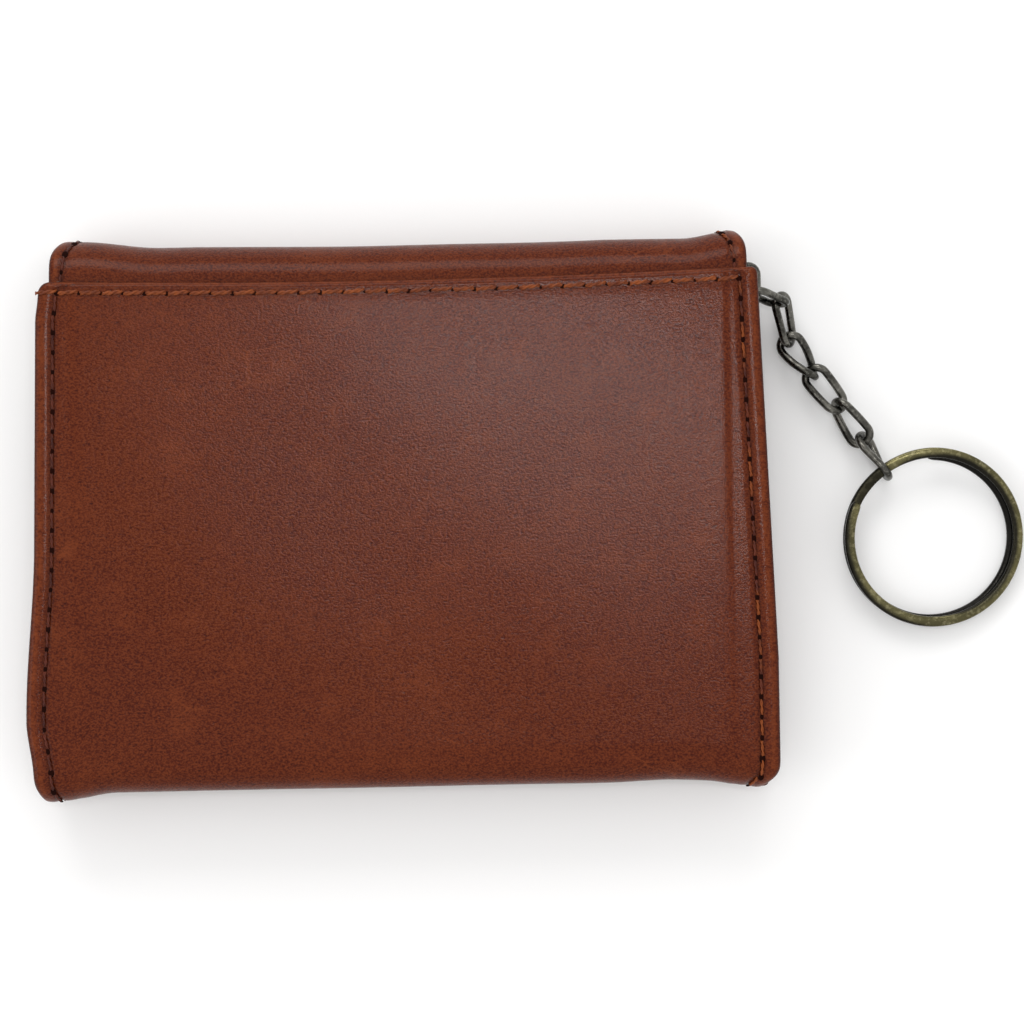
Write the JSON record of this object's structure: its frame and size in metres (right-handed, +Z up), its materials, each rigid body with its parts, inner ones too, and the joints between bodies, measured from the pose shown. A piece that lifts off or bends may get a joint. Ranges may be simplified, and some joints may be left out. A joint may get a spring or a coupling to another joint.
{
  "type": "trifold wallet",
  "caption": "Closed trifold leather wallet with card pockets, window flap, zipped coin pocket and a split key ring on a short curb chain.",
  "frame": {"origin": "middle of the closed wallet, on the flap's outer face that it rests on", "axes": "+X along the width towards the key ring's side, +Y from the bottom fold to the top fold, +Z up through the layers, out of the back pocket"},
  "size_m": [0.1373, 0.0763, 0.0143],
  "materials": {
    "outer_leather": "pebbled, waxed, worn pale along the edges",
    "inner_leather": "smooth split leather",
    "lining": "woven lining",
    "board": "pressed fibre board",
    "thread": "waxed twisted thread",
    "clear_window": "clear, glossy",
    "antique_brass": "antiqued, dark in the hollows",
    "zip_metal": "antiqued, satin",
    "zip_fabric": "woven tape",
    "gunmetal": "dark plated, satin"
  },
  "bodies": {
    "back": {"back_shell": "outer_leather", "back_pocket": "outer_leather", "back_lining": "lining", "bill_divider": "inner_leather", "card_pocket_top": "inner_leather", "card_pocket_middle": "inner_leather", "card_pocket_bottom": "inner_leather", "hem_stitching": "thread", "side_stitching_left": "thread", "side_stitching_right": "thread", "pocket_stitching": "thread", "chain_tab": "outer_leather"},
    "top_spine": {"top_spine": "outer_leather", "top_spine_stitching": "thread"},
    "low_spine": {"low_spine": "outer_leather", "low_spine_stitching": "thread"},
    "flap": {"flap_shell": "outer_leather", "flap_stiffener": "board", "flap_lining": "lining", "window_frame": "inner_leather", "id_window": "clear_window", "snap_cap": "antique_brass", "snap_socket": "antique_brass", "flap_stitching": "thread"},
    "front_panel": {"front_shell": "outer_leather", "coin_gusset": "inner_leather", "coin_wall": "inner_leather", "snap_stud": "antique_brass", "snap_eyelet": "antique_brass", "front_stitching": "thread", "zip_tape_outer": "zip_fabric", "zip_tape_inner": "zip_fabric", "zip_teeth_outer": "zip_metal", "zip_teeth_inner": "zip_metal", "zip_stops": "zip_metal"},
    "zip_slider": {"zip_slider": "zip_metal"},
    "zip_pull": {"zip_pull": "antique_brass"},
    "tab_ring": {"tab_ring": "gunmetal"},
    "link_1": {"link_1": "gunmetal"},
    "link_2": {"link_2": "gunmetal"},
    "link_3": {"link_3": "gunmetal"},
    "link_4": {"link_4": "gunmetal"},
    "link_5": {"link_5": "gunmetal"},
    "link_6": {"link_6": "gunmetal"},
    "split_ring": {"split_ring": "antique_brass"}
  },
  "joints": [
    {"name": "top_fold", "type": "hinge", "parent": "back", "child": "top_spine", "pos_m": [0, 0.03598, 0.01078], "axis": [1, 0, 0], "range_deg": [0, 90]},
    {"name": "flap_fold", "type": "hinge", "parent": "top_spine", "child": "flap", "pos_m": [0, 0.03598, 0.00182], "axis": [1, 0, 0], "range_deg": [0, 90]},
    {"name": "low_fold", "type": "hinge", "parent": "back", "child": "low_spine", "pos_m": [0, -0.03619, 0.01239], "axis": [-1, 0, 0], "range_deg": [0, 67.5]},
    {"name": "front_fold", "type": "hinge", "parent": "low_spine", "child": "front_panel", "pos_m": [0, -0.03619, 0.00501], "axis": [-1, 0, 0], "range_deg": [0, 67.5]},
    {"name": "zip_travel", "type": "slide", "parent": "front_panel", "child": "zip_slider", "axis": [1, 0, 0], "range_m": [-0.072, 0]},
    {"name": "pull_hinge", "type": "hinge", "parent": "zip_slider", "child": "zip_pull", "pos_m": [0.035, 0.00605, 0.00555], "axis": [0, 0, -1], "range_deg": [0, 90]},
    {"name": "tab_hinge", "type": "hinge", "parent": "back", "child": "tab_ring", "pos_m": [0.04586, 0.0311, 0.0094], "axis": [0, 1, 0], "range_deg": [-20, 20]},
    {"name": "link_1_hinge", "type": "hinge", "parent": "tab_ring", "child": "link_1", "pos_m": [0.0493, 0.0299, 0.00779], "axis": [0, 1, 0], "range_deg": [-25, 25]},
    {"name": "link_2_hinge", "type": "hinge", "parent": "link_1", "child": "link_2", "pos_m": [0.05306, 0.02853, 0.00366], "axis": [-0.7386, 0.0114, -0.674], "range_deg": [-25, 20]},
    {"name": "link_3_hinge", "type": "hinge", "parent": "link_2", "child": "link_3", "pos_m": [0.05423, 0.02303, 0.00226], "axis": [-0.4148, -0.3065, 0.8567], "range_deg": [-25, 25]},
    {"name": "link_4_hinge", "type": "hinge", "parent": "link_3", "child": "link_4", "pos_m": [0.05768, 0.01837, 0.00226], "axis": [-0.0701, -0.0518, 0.9962], "range_deg": [-25, 21]},
    {"name": "link_5_hinge", "type": "hinge", "parent": "link_4", "child": "link_5", "pos_m": [0.06125, 0.0138, 0.00231], "axis": [0.6071, 0.4672, -0.6428], "range_deg": [-25, 25]},
    {"name": "link_6_hinge", "type": "hinge", "parent": "link_5", "child": "link_6", "pos_m": [0.06453, 0.00902, 0.00246], "axis": [-0.809, -0.5615, -0.1736], "range_deg": [-25, 25]},
    {"name": "split_ring_hinge", "type": "hinge", "parent": "link_6", "child": "split_ring", "pos_m": [0.06763, 0.00415, 0.00306], "axis": [-0.0176, -0.1346, -0.9907], "range_deg": [-20, 20]}
  ],
  "couplings": [
    {"joint": "flap_fold", "follows": "top_fold", "ratio": 1},
    {"joint": "low_fold", "follows": "top_fold", "ratio": 0.75},
    {"joint": "front_fold", "follows": "top_fold", "ratio": 0.75}
  ]
}
